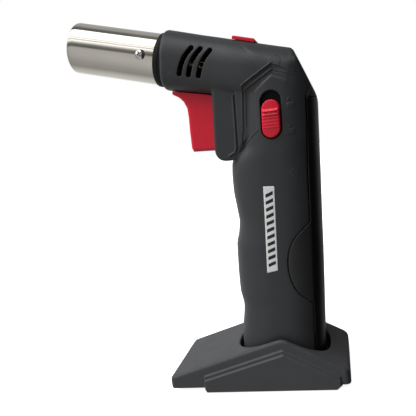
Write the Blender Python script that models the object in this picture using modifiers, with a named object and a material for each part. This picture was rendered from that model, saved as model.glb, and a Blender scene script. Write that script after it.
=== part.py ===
"""Pistol-grip butane torch with a desk stand: a stainless flame tube on a
plastic head, a handle that holds the fuel tank, a sliding trigger with a piezo
igniter, a top lock slide, a side flame slider and a roof-shaped stand.

Lengths below are in millimetres in the torch's own side view: X runs to the
rear of the torch, Y away from its left side, Z up, with X = 0 under the stand's
ridge and Z = 0 on the bench. Everything is scaled to metres when it is made,
and one empty moves the whole torch so that the origin is at the middle of its
footprint."""

import math

import bmesh
import bpy
from mathutils import Matrix, Vector

MM = 0.001

# ---------------------------------------------------------------- dimensions
ORIGIN_SHIFT_X = 34.2      # moves the footprint's middle to the origin
GAP = 0.3                  # clearance between pieces that meet

# flame tube and nozzle
NOZZLE_TILT = 16.0         # degrees above level
NOZZLE_START = (-51.0, 184.8)
TUBE_R = 13.9
TUBE_WALL = 0.8
TUBE_LEN = 49.9
RING_R = 14.6
RING_LEN = 2.9
TUBE_SCREW_S = 7.2

# head (barrel) and handle
WALL = 2.2
HEAD_HALF_W = 16.4
HEAD_TOP = 15.7
HEAD_BOTTOM = 14.9
HEAD_LEN = 71.6
HANDLE_HALF_W = 19.4
HANDLE_FOOT_Z = 7.4
GUARD_HALF_W = 10.8
# height, front x, rear x of the handle's side outline
HANDLE_LINE = (
    (7.4, -24.2, 21.3), (20.0, -23.8, 22.2), (33.0, -23.0, 23.2), (38.0, -22.2, 23.6),
    (44.5, -22.1, 24.1), (51.5, -23.3, 24.7), (62.0, -22.9, 25.5), (72.0, -22.2, 26.3),
    (79.5, -21.6, 26.8), (85.0, -19.6, 27.1), (91.5, -18.4, 27.6), (100.0, -19.0, 28.2),
    (108.0, -19.6, 28.8), (117.0, -19.2, 29.4), (126.0, -18.2, 29.9), (136.0, -14.5, 30.6),
    (146.0, -12.0, 31.3), (151.0, -11.0, 31.7), (156.0, -10.0, 30.6), (163.0, -8.0, 28.0),
    (170.0, -4.0, 25.3), (175.0, 0.0, 23.4), (178.5, 4.0, 22.0),
)

# trigger
TRIGGER_HALF_W = 8.5
TRIGGER_STROKE = 5.0
PIEZO_START = (-14.0, 150.0)

# flame slider and regulator
SLOT_X = 8.4
SLOT_Z = (134.3, 158.1)
SLOT_W = 10.3
SLIDER_LEN = 19.0
SLIDER_TRAVEL = 4.2
REG_X, REG_Z, REG_ARM = 2.2, 110.0, 7.0

# gas valve and refill valve
VALVE_X = -2.0
LEVER_X, LEVER_Z = 3.5, 122.5
TANK_Z = (13.0, 100.0)

# stand: front x, front rim z, ridge z, rear x, rear rim z
STAND_HALF_W = 24.0
STAND_FRONT = (-63.8, 9.6)
STAND_RIDGE = 28.8
STAND_REAR = (33.6, 10.3)
STAND_RAISE = 2.5
WELL_GAP = 1.6

TILT = math.radians(NOZZLE_TILT)
CT, ST = math.cos(TILT), math.sin(TILT)

# ---------------------------------------------------------------- scene setup
for old in list(bpy.data.objects):
    bpy.data.objects.remove(old, do_unlink=True)

torch = bpy.data.collections.new("butane_torch")
cutters = bpy.data.collections.new("cutters")
bpy.context.scene.collection.children.link(torch)
bpy.context.scene.collection.children.link(cutters)
cutters.hide_render = True


def material(name, color, rough, metal=0.0):
    mat = bpy.data.materials.new(name)
    mat.use_nodes = True
    bsdf = mat.node_tree.nodes["Principled BSDF"]
    bsdf.inputs["Base Color"].default_value = (*color, 1.0)
    bsdf.inputs["Roughness"].default_value = rough
    bsdf.inputs["Metallic"].default_value = metal
    mat.diffuse_color = (*color, 1.0)
    return mat


CHARCOAL = material("charcoal_abs", (0.045, 0.047, 0.05), 0.5)
SPINE_BLACK = material("spine_black", (0.02, 0.02, 0.022), 0.3)
RED = material("red_abs", (0.45, 0.015, 0.04), 0.4)
STEEL = material("stainless_steel", (0.72, 0.69, 0.66), 0.22, 1.0)
BRASS = material("brass", (0.72, 0.52, 0.24), 0.3, 1.0)
ZINC = material("zinc_plate", (0.6, 0.6, 0.62), 0.35, 1.0)
RUBBER = material("black_rubber", (0.012, 0.012, 0.013), 0.7)
NYLON = material("natural_nylon", (0.62, 0.6, 0.55), 0.5)
CERAMIC = material("white_ceramic", (0.85, 0.84, 0.8), 0.35)
LABEL = material("white_label", (0.85, 0.85, 0.85), 0.4)
TANK_PLASTIC = material("tank_plastic", (0.55, 0.5, 0.42), 0.35)
WIRE_RED = material("wire_insulation", (0.5, 0.05, 0.03), 0.5)

# ---------------------------------------------------------------- frames
IDENTITY = Matrix.Identity(4)


def frame_of(x_axis, y_axis, z_axis, origin):
    m = Matrix.Identity(4)
    for i, axis in enumerate((x_axis, y_axis, z_axis)):
        m.col[i][:3] = axis
    m.col[3][:3] = [c * MM for c in origin]
    return m


# local Z along the nozzle towards the flame, local X up
NOZZLE = frame_of((ST, 0, CT), (0, 1, 0), (-CT, 0, ST), (NOZZLE_START[0], 0, NOZZLE_START[1]))
# local Z along the trigger's travel, local X up
STROKE = frame_of((ST, 0, CT), (0, -1, 0), (CT, 0, -ST), (PIEZO_START[0], 0, PIEZO_START[1]))


def upright(x, z, y=0.0):
    return Matrix.Translation(Vector((x, y, z)) * MM)


def along_y(x, z, y=0.0):
    """Local Z along world +Y, local X along world +X."""
    return frame_of((1, 0, 0), (0, 0, -1), (0, 1, 0), (x, y, z))


# ---------------------------------------------------------------- makers
def put(name, mesh, mat, frame=IDENTITY, cutter=False):
    obj = bpy.data.objects.new(name, mesh)
    obj.matrix_world = frame
    if cutter:
        cutters.objects.link(obj)
        obj.hide_render = True
        obj.display_type = "WIRE"
    else:
        torch.objects.link(obj)
        mesh.materials.clear()
        mesh.materials.append(mat)
    return obj


def finish_mesh(bm, name, smooth=True):
    bmesh.ops.recalc_face_normals(bm, faces=bm.faces)
    mesh = bpy.data.meshes.new(name)
    bm.to_mesh(mesh)
    bm.free()
    if smooth:
        mesh.shade_smooth()
        mesh.set_sharp_from_angle(angle=math.radians(35))
    return mesh


def rod(name, z0, z1, r, mat=None, frame=IDENTITY, sides=16, cutter=False, r2=None, x=0.0, y=0.0):
    """A cylinder or cone along its frame's local Z, off the axis by x and y."""
    bm = bmesh.new()
    bmesh.ops.create_cone(
        bm, cap_ends=True, segments=sides, radius1=r * MM,
        radius2=(r if r2 is None else r2) * MM, depth=(z1 - z0) * MM,
    )
    bmesh.ops.translate(bm, verts=bm.verts, vec=Vector((x, y, (z0 + z1) / 2)) * MM)
    return put(name, finish_mesh(bm, name), mat, frame, cutter)


def block(name, low, high, mat=None, frame=IDENTITY, bevel=0.0, cutter=False):
    """A box between two corners of its frame, with rounded edges."""
    bm = bmesh.new()
    bmesh.ops.create_cube(bm, size=1.0)
    size = [h - l for l, h in zip(low, high)]
    mid = [(h + l) / 2 for l, h in zip(low, high)]
    bmesh.ops.scale(bm, vec=Vector(size) * MM, verts=bm.verts)
    bmesh.ops.translate(bm, vec=Vector(mid) * MM, verts=bm.verts)
    if bevel:
        bmesh.ops.bevel(bm, geom=bm.edges[:], offset=bevel * MM, segments=2, affect="EDGES", profile=0.5)
    return put(name, finish_mesh(bm, name), mat, frame, cutter)


def turned(name, profile, mat=None, frame=IDENTITY, steps=32, cutter=False):
    """A closed (radius, height) outline turned round the frame's local Z."""
    area = sum(
        profile[i - 1][0] * profile[i][1] - profile[i][0] * profile[i - 1][1]
        for i in range(len(profile))
    )
    points = list(profile) if area < 0 else list(reversed(profile))
    bm = bmesh.new()
    verts = [bm.verts.new((r * MM, 0, z * MM)) for r, z in points]
    for i, vert in enumerate(verts):
        other = verts[(i + 1) % len(verts)]
        if vert.co.x < 1e-9 and other.co.x < 1e-9:
            continue
        bm.edges.new((vert, other))
    mesh = bpy.data.meshes.new(name)
    bm.to_mesh(mesh)
    bm.free()
    obj = put(name, mesh, mat, frame, cutter)
    screw = obj.modifiers.new("turn", "SCREW")
    screw.axis = "Z"
    screw.steps = steps
    screw.render_steps = steps
    screw.use_merge_vertices = True
    screw.merge_threshold = 0.00001
    screw.use_smooth_shade = True
    return obj


def realised(obj):
    """The evaluated mesh of an object, with coincident points welded."""
    bpy.context.view_layer.update()
    graph = bpy.context.evaluated_depsgraph_get()
    mesh = bpy.data.meshes.new_from_object(obj.evaluated_get(graph))
    bm = bmesh.new()
    bm.from_mesh(mesh)
    bmesh.ops.remove_doubles(bm, verts=bm.verts, dist=0.000001)
    bmesh.ops.recalc_face_normals(bm, faces=bm.faces)
    bm.to_mesh(mesh)
    bm.free()
    return mesh


def outline(name, points, y0, y1, mat=None, cutter=False, bevel=0.0, frame=None):
    """A flat (x, z) outline extruded from y0 to y1, made from a 2D curve."""
    curve = bpy.data.curves.new(name + "_outline", "CURVE")
    curve.dimensions = "2D"
    curve.fill_mode = "BOTH"
    curve.extrude = abs(y1 - y0) / 2 * MM
    spline = curve.splines.new("POLY")
    spline.points.add(len(points) - 1)
    for point, (x, z) in zip(spline.points, points):
        point.co = (x * MM, z * MM, 0, 1)
    spline.use_cyclic_u = True
    source = bpy.data.objects.new(name + "_outline", curve)
    bpy.context.scene.collection.objects.link(source)
    mesh = realised(source)
    bpy.data.objects.remove(source, do_unlink=True)
    # local Z of the curve becomes world -Y
    place = frame_of((1, 0, 0), (0, 0, 1), (0, -1, 0), (0, (y0 + y1) / 2, 0))
    mesh.transform(place)
    bm = bmesh.new()
    bm.from_mesh(mesh)
    bmesh.ops.dissolve_limit(bm, angle_limit=math.radians(0.5), verts=bm.verts, edges=bm.edges)
    bm.to_mesh(mesh)
    bm.free()
    if frame is not None:
        mesh.transform(frame)
    mesh.shade_smooth()
    mesh.set_sharp_from_angle(angle=math.radians(35))
    obj = put(name, mesh, mat, IDENTITY, cutter)
    if bevel:
        mod = obj.modifiers.new("edge", "BEVEL")
        mod.width = bevel * MM
        mod.segments = 2
        mod.limit_method = "ANGLE"
        mod.angle_limit = math.radians(40)
    return obj


def wire(name, points, r, mat=None, resolution=2, cutter=False, cyclic=False):
    """A round wire or hose through the points."""
    curve = bpy.data.curves.new(name, "CURVE")
    curve.dimensions = "3D"
    curve.bevel_depth = r * MM
    curve.bevel_resolution = resolution
    curve.use_fill_caps = not cyclic
    spline = curve.splines.new("POLY")
    spline.points.add(len(points) - 1)
    for point, co in zip(spline.points, points):
        point.co = (*[c * MM for c in co], 1)
    spline.use_cyclic_u = cyclic
    source = bpy.data.objects.new(name + "_path", curve)
    bpy.context.scene.collection.objects.link(source)
    mesh = realised(source)
    bpy.data.objects.remove(source, do_unlink=True)
    mesh.shade_smooth()
    return put(name, mesh, mat, IDENTITY, cutter)


def smooth_path(points, per=4):
    """Points along a Catmull-Rom curve through the given ones."""
    pts = [Vector(p) for p in points]
    pts = [pts[0] * 2 - pts[1]] + pts + [pts[-1] * 2 - pts[-2]]
    found = []
    for a, b, c, d in zip(pts, pts[1:], pts[2:], pts[3:]):
        for i in range(per):
            t = i / per
            found.append(
                0.5 * ((2 * b) + (c - a) * t + (2 * a - 5 * b + 4 * c - d) * t * t
                       + (3 * b - a - 3 * c + d) * t ** 3)
            )
    found.append(pts[-2])
    return [tuple(p) for p in found]


def loft(name, rings, mat=None, cutter=False):
    """A closed body through rings of points, capped at both ends."""
    bm = bmesh.new()
    made = [[bm.verts.new(Vector(p) * MM) for p in ring] for ring in rings]
    n = len(made[0])
    for low, high in zip(made, made[1:]):
        for i in range(n):
            bm.faces.new((low[i], low[(i + 1) % n], high[(i + 1) % n], high[i]))
    bm.faces.new(list(reversed(made[0])))
    bm.faces.new(made[-1])
    return put(name, finish_mesh(bm, name), mat, IDENTITY, cutter)


def boolean(obj, other, operation="DIFFERENCE"):
    mod = obj.modifiers.new(other.name, "BOOLEAN")
    mod.operation = operation
    mod.solver = "EXACT"
    mod.object = other
    return obj


def cut(obj, *others):
    for other in others:
        boolean(obj, other, "DIFFERENCE")
    return obj


def join(obj, *others):
    for other in others:
        boolean(obj, other, "UNION")
    return obj


# ---------------------------------------------------------------- housing form
RING_POINTS = 28


def rounded(power_top, power_low, a, b_top, b_low, centre, grow=0.0):
    """One superellipse ring in (u, v), v up, with its own shape above and below."""
    found = []
    for i in range(RING_POINTS):
        angle = 2 * math.pi * (i + 0.5) / RING_POINTS
        c, s = math.cos(angle), math.sin(angle)
        power = power_top if s > 0 else power_low
        b = b_top if s > 0 else b_low
        found.append((
            centre + (a + grow) * math.copysign(abs(c) ** (2 / power), c),
            (b + grow) * math.copysign(abs(s) ** (2 / power), s),
        ))
    return found


def blend(table, z, column):
    """Straight interpolation in the handle's table of heights."""
    if z <= table[0][0]:
        return table[0][column]
    for low, high in zip(table, table[1:]):
        if z <= high[0]:
            part = (z - low[0]) / (high[0] - low[0])
            return low[column] + part * (high[column] - low[column])
    return table[-1][column]


def half_width(z):
    """The handle's half width: narrower towards the top of the head."""
    if z < 158:
        return HANDLE_HALF_W
    return HANDLE_HALF_W - 5.0 * ((z - 158) / 20.5) ** 2


def handle_ring(z, grow):
    front, rear = blend(HANDLE_LINE, z, 1), blend(HANDLE_LINE, z, 2)
    mid, a = (front + rear) / 2, (rear - front) / 2
    ring = rounded(2.5, 2.5, a, half_width(z), half_width(z), mid, grow)
    return [(u, v, z) for u, v in ring]


def handle_body(name, grow, low=None, high=None, cutter=True, mat=None):
    levels = [row[0] for row in HANDLE_LINE]
    low = levels[0] if low is None else low
    high = levels[-1] if high is None else high
    zs = [low] + [z for z in levels if low + 0.5 < z < high - 0.5] + [high]
    return loft(name, [handle_ring(z, grow) for z in zs], mat, cutter)


def barrel_body(name, grow, s0=-3.2, s1=-HEAD_LEN, cutter=True):
    rings = []
    for i, (s, drop) in enumerate((
        (s0, 1.6 if grow >= 0 else 0.0), (s0 - 1.2, 0.4 if grow >= 0 else 0.0), (s0 - 3.0, 0.0),
        (-12, 0), (-20, 0), (-30, 0), (-44, 0), (-58, 0), (s1, 0),
    )):
        part = min(1.0, max(0.0, (-s - 4) / 20))
        power_top = 2.0 + 0.5 * part
        power_low = 2.0 + 1.6 * part
        top = 16.2 + (HEAD_TOP - 16.2) * part - drop + grow
        low = 16.2 + (HEAD_BOTTOM - 16.2) * min(1.0, part * 4) - drop + grow
        side = 16.2 + (HEAD_HALF_W - 16.2) * part - drop + grow
        ring = []
        for u, v in rounded(power_top, power_low, side, top, low, 0.0):
            ring.append(NOZZLE @ (Vector((v, u, s)) * MM) / MM)
        rings.append(ring)
    return loft(name, rings, None, cutter)


def guard_body(name, grow, cutter=True):
    front = [(-22.6, 163.5), (-25.2, 132.0), (-24.6, 129.0), (-23.0, 127.0), (-20.8, 125.8), (-18.5, 125.3)]
    points = front + [(0.0, 125.3), (0.0, 163.5)]
    mid = (-12.0, 145.0)
    moved = []
    for x, z in points:
        moved.append((
            x + grow * (1 if x > mid[0] else -1),
            z + grow * (1 if z > mid[1] else -1),
        ))
    half = GUARD_HALF_W + grow
    return outline(name, moved, -half, half, None, cutter, bevel=2.4 if grow >= 0 else 0)


handle_out = handle_body("handle_out", 0.0)
barrel_out = barrel_body("barrel_out", 0.0)
guard_out = guard_body("guard_out", 0.0)
handle_in = handle_body("handle_in", -WALL, low=4.0, high=176.0)
barrel_in = barrel_body("barrel_in", -WALL, s0=0.0, s1=-HEAD_LEN + WALL)
guard_in = guard_body("guard_in", -WALL)

# openings of the housing
trigger_gate = outline(
    "trigger_gate", [(-60, 171.7), (-60, 129.4), (-16, 129.4), (-16, 159.1)],
    -TRIGGER_HALF_W - 0.4, TRIGGER_HALF_W + 0.4, cutter=True,
)


def stadium(x, z0, z1, width, n=7):
    """A slot's outline with round ends."""
    r = width / 2
    pts = []
    for i in range(n + 1):
        a = math.pi * i / n
        pts.append((x + r * math.cos(a), z1 - r + r * math.sin(a)))
    for i in range(n + 1):
        a = math.pi + math.pi * i / n
        pts.append((x + r * math.cos(a), z0 + r + r * math.sin(a)))
    return pts


def slanted(points, lean, about):
    """Leans an outline about one height by lean degrees."""
    t = math.tan(math.radians(lean))
    return [(x + (z - about) * t, z) for x, z in points]


SLOT_LEAN = 4.0
slider_slot = outline(
    "slider_slot", slanted(stadium(SLOT_X, SLOT_Z[0], SLOT_Z[1], SLOT_W), SLOT_LEAN, 146.2), -26, -12.0, cutter=True,
)

VENTS = ((-28.5, 186.4, -37.5, 172.9), (-23.8, 185.0, -32.7, 171.6), (-18.9, 183.3, -27.3, 170.2))


def vent_points(x1, z1, x0, z0, width=2.7):
    """A slanted slot that bows a little to the front."""
    pts = []
    n = 5
    for side in (1, -1):
        for i in range(n + 1):
            t = i / n if side == 1 else 1 - i / n
            bow = 0.9 * math.sin(math.pi * t)
            x = x0 + (x1 - x0) * t - bow * 0.83
            z = z0 + (z1 - z0) * t + bow * 0.55
            pts.append((x + side * width / 2 * 0.83, z - side * width / 2 * 0.55))
    return pts


vent_cutters = []
for i, (x1, z1, x0, z0) in enumerate(VENTS):
    for side, y0, y1 in (("near", -24.0, -9.5), ("far", 9.5, 24.0)):
        vent_cutters.append((side, outline(f"vent_{side}_{i + 1}", vent_points(x1, z1, x0, z0), y0, y1, cutter=True)))

lock_slot = block("lock_slot", (10.0, -2.3, -53.5), (20.0, 2.3, -39.5), frame=NOZZLE, cutter=True)

# bosses: (x, z, reach in y)
SCREW_PLACES = ((-41.0, 172.0, 12.0), (13.0, 172.0, 14.0), (-11.2, 119.0, 11.5), (17.0, 116.0, 15.0))
bosses, screw_holes = {"near": [], "far": []}, {"near": [], "far": []}
for i, (x, z, reach) in enumerate(SCREW_PLACES):
    bosses["near"].append(rod(f"boss_near_{i + 1}", -reach, -0.15, 3.0, frame=along_y(x, z), sides=16, cutter=True))
    bosses["far"].append(rod(f"boss_far_{i + 1}", 0.15, reach, 3.0, frame=along_y(x, z), sides=16, cutter=True))
    screw_holes["near"].append(rod(f"pilot_{i + 1}", -9.3, 1.0, 1.45, frame=along_y(x, z), sides=12, cutter=True))
    screw_holes["far"].append(rod(f"bore_{i + 1}", -1.0, 30.0, 1.7, frame=along_y(x, z), sides=12, cutter=True))
    screw_holes["far"].append(rod(f"counterbore_{i + 1}", reach - 4.0, 30.0, 2.9, frame=along_y(x, z), sides=16, cutter=True))
for side, y0, y1 in (("near", -17.6, -6.0), ("far", 6.0, 17.6)):
    bosses[side].append(rod(f"pivot_boss_{side}", y0, y1, 2.4, frame=along_y(LEVER_X, LEVER_Z), sides=16, cutter=True))
    s0, s1 = (-12.5, -5.0) if side == "near" else (5.0, 12.5)
    screw_holes[side].append(rod(f"pivot_socket_{side}", s0, s1, 1.2, frame=along_y(LEVER_X, LEVER_Z), sides=16, cutter=True))

near_half = block("near_half", (-120, -60, -20), (60, -0.15, 240), cutter=True)
far_half = block("far_half", (-120, 0.15, -20), (60, 60, 240), cutter=True)


# rear spine panel, with its round thumb lobe on both sides
def spine_line(grow):
    """The seam, from the top corner down to the foot."""
    pts = [(26.4, 152.8), (25.6, 140.0), (24.3, 128.0), (23.0, 116.0), (21.7, 88.0)]
    centre, radius = (20.3, 64.4), 14.0
    a0, a1 = math.radians(110), math.radians(250)
    for i in range(11):
        a = a0 + (a1 - a0) * i / 10
        pts.append((centre[0] + radius * math.cos(a) * 0.93, centre[1] + radius * 1.28 * math.sin(a)))
    pts += [(18.2, 44.0), (17.6, 34.0), (15.8, 4.0)]
    return [(x - grow, z) for x, z in pts]


def spine_region(name, grow):
    line = spine_line(grow)
    top = line[0]
    return outline(name, line + [(50, 4.0), (50, top[1] + grow), (top[0], top[1] + grow)], -30, 30, cutter=True)


spine_zone = spine_region("spine_zone", 0.0)
spine_gap = spine_region("spine_gap", 0.25)

# nameplate recess
LABEL_BOX = [(-3.7, 64.4), (2.2, 65.4), (5.7, 110.1), (-0.1, 110.5)]


def plate_zone(name, grow):
    (ax, az), (bx, bz), (cx, cz), (dx, dz) = LABEL_BOX
    pts = [(ax - grow, az - grow), (bx + grow, bz - grow), (cx + grow, cz + grow), (dx - grow, dz + grow)]
    return outline(name, pts, -30, -10, cutter=True)


label_pocket = plate_zone("label_pocket", 0.25)
handle_skin = handle_body("handle_skin", -0.75)
cut(label_pocket, handle_skin)


def housing(name, side, half):
    obj = handle_body(name, 0.0, cutter=False, mat=CHARCOAL)
    join(obj, barrel_out, guard_out)
    cut(obj, handle_in, barrel_in, guard_in)
    join(obj, *bosses[side])
    cut(obj, *screw_holes[side])
    cut(obj, trigger_gate, lock_slot)
    cut(obj, *[vent for s, vent in vent_cutters if s == side])
    if side == "near":
        cut(obj, slider_slot, label_pocket)
    cut(obj, spine_gap)
    boolean(obj, half, "INTERSECT")
    return obj


housing_left = housing("housing_left", "near", near_half)
housing_right = housing("housing_right", "far", far_half)

rear_spine = handle_body("rear_spine_panel", 0.0, cutter=False, mat=SPINE_BLACK)
cut(rear_spine, handle_in)
boolean(rear_spine, spine_zone, "INTERSECT")

nameplate = handle_body("nameplate", 0.12, low=60.0, high=115.0, cutter=False, mat=LABEL)
plate_under = handle_body("plate_under", -0.45, low=55.0, high=120.0)
label_zone = plate_zone("label_zone", 0.0)
cut(nameplate, plate_under)
boolean(nameplate, label_zone, "INTERSECT")

# bottom cap between the shells
bottom_cap = handle_body("bottom_cap", -WALL - 0.3, low=7.6, high=9.6, cutter=False, mat=CHARCOAL)
cut(bottom_cap, rod("cap_hole", 5, 12, 3.4, frame=upright(-1.2, 0), sides=20, cutter=True))

# ---------------------------------------------------------------- fuel tank
fuel_tank = handle_body("fuel_tank", -2.9, low=TANK_Z[0], high=TANK_Z[1], cutter=False, mat=TANK_PLASTIC)
tank_room = handle_body("tank_room", -4.5, low=TANK_Z[0] + 1.8, high=TANK_Z[1] - 1.8)
cut(
    fuel_tank, tank_room,
    rod("tank_mouth", 95.0, 104.0, 3.1, frame=upright(VALVE_X, 0), cutter=True),
    rod("tank_drain", 10.0, 17.0, 3.1, frame=upright(-1.2, 0), cutter=True),
)

REFILL_X = -1.2
refill_body = turned(
    "refill_valve_body",
    [(1.2, 8.0), (2.6, 8.0), (2.6, 10.0), (4.4, 10.0), (4.4, 11.5), (2.85, 11.5), (2.85, 20.0),
     (1.0, 20.0), (1.0, 19.0), (2.0, 19.0), (2.0, 12.2), (1.2, 12.2)],
    BRASS, upright(REFILL_X, 0), steps=14,
)
refill_stem = turned(
    "refill_valve_stem",
    [(0.0, 7.7), (0.8, 7.7), (0.8, 12.4), (1.6, 12.4), (1.6, 13.5), (0.65, 13.5), (0.65, 21.0), (0.0, 21.0)],
    STEEL, upright(REFILL_X, 0), steps=10,
)


def helix(x, y, z0, z1, r, turns, per=12):
    n = int(turns * per)
    return [
        (x + r * math.cos(2 * math.pi * i / per), y + r * math.sin(2 * math.pi * i / per), z0 + (z1 - z0) * i / n)
        for i in range(n + 1)
    ]


refill_spring = wire("refill_valve_spring", helix(REFILL_X, 0, 14.0, 18.5, 1.3, 3.5, 8), 0.22, STEEL, resolution=1)
refill_seal = wire(
    "refill_valve_seal",
    [(REFILL_X + 3.75 * math.cos(2 * math.pi * i / 16), 3.75 * math.sin(2 * math.pi * i / 16), 12.2) for i in range(16)],
    0.5, RUBBER, resolution=1, cyclic=True,
)

# ---------------------------------------------------------------- gas valve
gas_valve = block("gas_valve_body", (-7.4, -7.0, 100.4), (5.0, 5.0, 119.0), BRASS, bevel=0.6)
join(gas_valve, rod("valve_stub", 94.0, 101.5, 2.8, frame=upright(VALVE_X, 0), cutter=True))
cut(
    gas_valve,
    rod("valve_inlet", 93.0, 105.5, 0.8, frame=upright(VALVE_X, 0), sides=12, cutter=True),
    rod("valve_chamber", 105.0, 114.5, 2.3, frame=upright(VALVE_X, 0), sides=20, cutter=True),
    rod("valve_throat", 114.0, 120.0, 1.4, frame=upright(VALVE_X, 0), sides=16, cutter=True),
    rod("regulator_bore", -8.0, -1.0, 1.3, frame=along_y(REG_X, REG_Z), sides=16, cutter=True),
)
gas_nipple = turned(
    "gas_valve_nipple",
    [(0.0, 105.5), (1.9, 105.5), (1.9, 106.7), (1.1, 106.7), (1.1, 123.8), (2.3, 123.8), (2.3, 124.8), (1.1, 124.8),
     (1.1, 130.5), (0.0, 130.5)],
    BRASS, upright(VALVE_X, 0), steps=14,
)
gas_spring = wire("gas_valve_spring", helix(VALVE_X, 0, 107.2, 114.0, 1.65, 3.5, 8), 0.22, STEEL, resolution=1)
valve_gasket = turned(
    "gas_valve_gasket", [(1.7, 119.2), (3.4, 119.2), (3.4, 120.0), (1.7, 120.0)], RUBBER, upright(VALVE_X, 0), steps=14,
)

# fork lever that lifts the nipple, on its pin
lever = rod("valve_lever", -3.4, 5.2, 2.2, NYLON, along_y(LEVER_X, LEVER_Z), sides=20)
join(
    lever,
    block("tine_a", (-6.7, 1.6, -1.0), (0.0, 3.2, 1.0), frame=upright(LEVER_X, LEVER_Z), cutter=True),
    block("tine_b", (-6.7, -3.2, -1.0), (0.0, -1.6, 1.0), frame=upright(LEVER_X, LEVER_Z), cutter=True),
    block("lever_arm", (-2.2, 2.2, 0.0), (0.0, 5.0, 15.0), frame=upright(LEVER_X, LEVER_Z), cutter=True),
)
cut(lever, rod("lever_eye", -5, 7, 1.15, frame=along_y(LEVER_X, LEVER_Z), sides=16, cutter=True))
lever_pin = rod("lever_pin", -12.2, 12.2, 1.0, STEEL, along_y(LEVER_X, LEVER_Z), sides=16)

# regulator spindle and its slotted lever, one piece on the real torch
reg_rest = math.degrees(math.asin(SLIDER_TRAVEL / 2 / REG_ARM))
reg_frame = along_y(REG_X, REG_Z) @ Matrix.Rotation(math.radians(reg_rest), 4, "Z")
regulator = rod("regulator_lever", -14.2, -13.0, 2.6, NYLON, reg_frame, sides=20)
join(
    regulator,
    block("regulator_arm", (0.0, -2.3, -14.2), (9.6, 2.3, -13.0), frame=reg_frame, cutter=True),
    rod("regulator_shaft", -13.5, -2.0, 1.1, frame=reg_frame, sides=16, cutter=True),
)
cut(
    regulator,
    block("regulator_slot", (5.6, -1.3, -15.0), (8.8, 1.3, -12.0), frame=reg_frame, cutter=True),
)

# ---------------------------------------------------------------- flame slider
slider_z0 = SLOT_Z[0] + 0.4
slider_mid = slider_z0 + SLIDER_LEN / 2
carriage_frame = frame_of((1, 0, 0), (0, 1, 0), (0, 0, 1), (0, 0, 0))
carriage = outline(
    "slider_carriage",
    slanted([(2.6, 129.2), (14.0, 129.2), (14.0, 159.6), (2.6, 159.6)], SLOT_LEAN, 146.2), -15.8, -14.5, NYLON,
)
join(
    carriage,
    outline("carriage_stem", slanted([(5.4, 139.5), (11.4, 139.5), (11.4, 149.5), (5.4, 149.5)], SLOT_LEAN, 146.2), -18.6, -15.0, cutter=True),
    outline("carriage_arm", [(6.9, 105.4), (11.3, 105.4), (11.3, 130.0), (6.9, 130.0)], -15.8, -14.5, cutter=True),
    rod("carriage_pin", -15.2, -12.6, 1.0, frame=along_y(REG_X + REG_ARM, REG_Z - SLIDER_TRAVEL / 2), sides=12, cutter=True),
)
slider = outline(
    "flame_slider", slanted(stadium(SLOT_X, slider_z0, slider_z0 + SLIDER_LEN, SLOT_W - 0.9), SLOT_LEAN, 146.2), -21.6, -18.9, RED,
)
edge = slider.modifiers.new("edge", "BEVEL")
edge.width = 0.7 * MM
edge.segments = 2
edge.limit_method = "ANGLE"
edge.angle_limit = math.radians(60)

# ---------------------------------------------------------------- trigger
front_line = [(-47.2, 167.7), (-45.7, 164.4), (-42.3, 162.3), (-40.1, 159.8), (-38.6, 156.1), (-38.5, 150.8),
              (-38.9, 143.8), (-39.1, 134.5), (-38.3, 132.2)]
trigger = outline(
    "trigger", front_line + [(-14.4, 130.8), (-14.4, 158.3)], -TRIGGER_HALF_W, TRIGGER_HALF_W, RED, bevel=1.2,
)
join(trigger, block("trigger_tongue", (-16.0, 2.2, 134.6), (0.6, 5.0, 137.4), cutter=True))

plunger = rod("piezo_plunger", 0.9, 12.0, 2.9, NYLON, STROKE, sides=20)
piezo = turned(
    "piezo_igniter", [(3.25, 6.2), (4.6, 6.2), (4.6, 30.0), (0.0, 30.0), (0.0, 20.0), (3.25, 20.0)], RUBBER, STROKE, steps=24,
)

# ---------------------------------------------------------------- lock slide
lock_button = outline(
    "lock_button", [(-53.6, HEAD_TOP + 0.35), (-39.2, HEAD_TOP + 0.35), (-39.2, HEAD_TOP + 2.0), (-39.9, HEAD_TOP + 2.3),
                    (-51.0, HEAD_TOP + 2.1)],
    -4.2, 4.2, RED, bevel=0.5,
    frame=frame_of((-CT, 0, ST), (0, -1, 0), (ST, 0, CT), (NOZZLE_START[0], 0, NOZZLE_START[1])),
)
lock_clip = block("lock_clip", (11.9, -4.6, -52.0), (13.1, 4.6, -38.0), NYLON, NOZZLE, bevel=0.3)
join(lock_clip, block("lock_post", (12.5, -2.0, -51.0), (15.75, 2.0, -44.0), frame=NOZZLE, cutter=True))

# ---------------------------------------------------------------- burner
flame_tube = turned(
    "flame_tube",
    [(TUBE_R - TUBE_WALL, 0.2), (TUBE_R, 0.2), (TUBE_R, TUBE_LEN - 0.5), (TUBE_R - 0.2, TUBE_LEN), (TUBE_R - 0.6, TUBE_LEN),
     (TUBE_R - TUBE_WALL, TUBE_LEN - 0.5)],
    STEEL, NOZZLE, steps=36,
)
for i, side in enumerate((-1, 1)):
    cut(flame_tube, rod(f"tube_hole_{i + 1}", 11.0 * 1, 16.0, 1.5,
                        frame=NOZZLE @ frame_of((0, 0, 1), (1 * side, 0, 0), (0, side, 0), (0, 0, TUBE_SCREW_S)), sides=16, cutter=True))
heat_ring = turned("heat_ring", [(13.0, -2.9), (RING_R, -2.9), (RING_R, 0.0), (13.0, 0.0)], RUBBER, NOZZLE, steps=32)
burner_collar = turned(
    "burner_collar",
    [(4.2, -8.0), (12.7, -8.0), (12.7, 12.0), (11.7, 12.0), (11.7, -6.4), (4.2, -6.4)], ZINC, NOZZLE, steps=28,
)
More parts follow.
